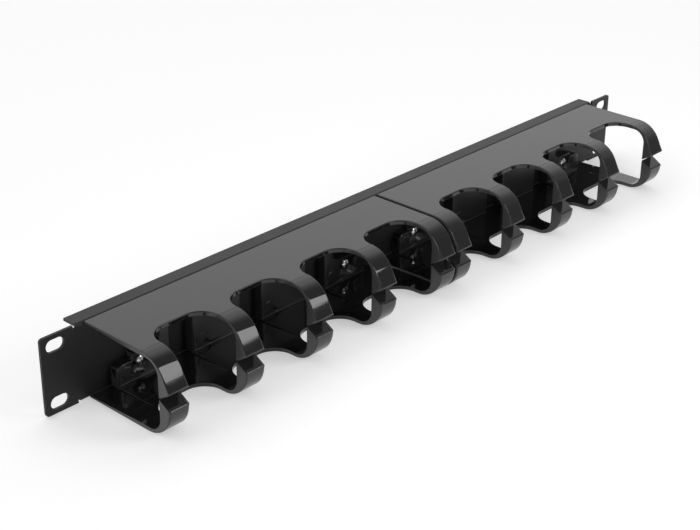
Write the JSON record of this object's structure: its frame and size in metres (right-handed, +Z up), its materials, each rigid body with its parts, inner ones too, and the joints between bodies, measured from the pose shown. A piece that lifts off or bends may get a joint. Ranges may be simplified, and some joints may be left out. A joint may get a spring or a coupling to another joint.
{
  "type": "horizontal cable manager",
  "caption": "Low rack cable manager: a folded black panel with slotted ears carries moulded ducts whose curved fingers meet at a slit, with round-cornered cable exits between them.",
  "frame": {"origin": "middle of the pattern of rack slots, on the front face of the panel", "axes": "+X along the rack's width, +Y to the rear of the rack, +Z up; the fingers point to -Y"},
  "size_m": [0.4826, 0.0718, 0.0436],
  "materials": {
    "panel_black": "matte black powder coat",
    "duct_black": "glossy black moulded plastic",
    "screw_zinc": "bright zinc plating"
  },
  "bodies": {
    "root": {"mounting_panel": "panel_black", "left_finger_duct": "duct_black", "right_finger_duct": "duct_black", "left_duct_outer_lower_screw": "screw_zinc", "left_duct_outer_upper_screw": "screw_zinc", "left_duct_inner_lower_screw": "screw_zinc", "left_duct_inner_upper_screw": "screw_zinc", "right_duct_outer_lower_screw": "screw_zinc", "right_duct_outer_upper_screw": "screw_zinc", "right_duct_inner_lower_screw": "screw_zinc", "right_duct_inner_upper_screw": "screw_zinc"}
  },
  "joints": []
}
